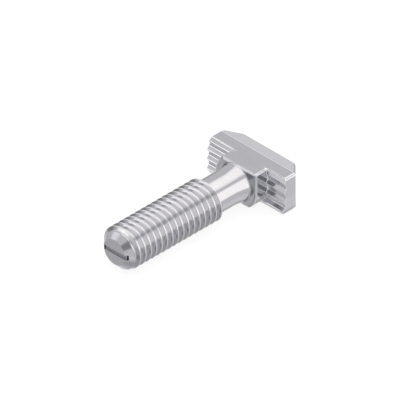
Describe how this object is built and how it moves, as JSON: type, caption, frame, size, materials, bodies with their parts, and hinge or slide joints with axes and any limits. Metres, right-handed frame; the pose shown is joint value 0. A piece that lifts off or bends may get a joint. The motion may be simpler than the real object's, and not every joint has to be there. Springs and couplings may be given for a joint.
{
  "type": "t-slot bolt",
  "caption": "Hammer-head T-slot bolt with serrated clamping wings, a square-cornered neck, a waisted shank and a thread with a slotted cone tip.",
  "frame": {"origin": "on the bolt's axis, in the plane of the serration ridges that clamp under the slot's lips", "axes": "+X along the axis to the tip, +Y along the long head, +Z across the head, upwards as the bolt lies"},
  "size_m": [0.0359, 0.018, 0.008],
  "materials": {
    "zinc_plated_steel": "bright zinc-plated steel, satin"
  },
  "bodies": {
    "root": {"t_slot_bolt": "zinc_plated_steel"}
  },
  "joints": []
}
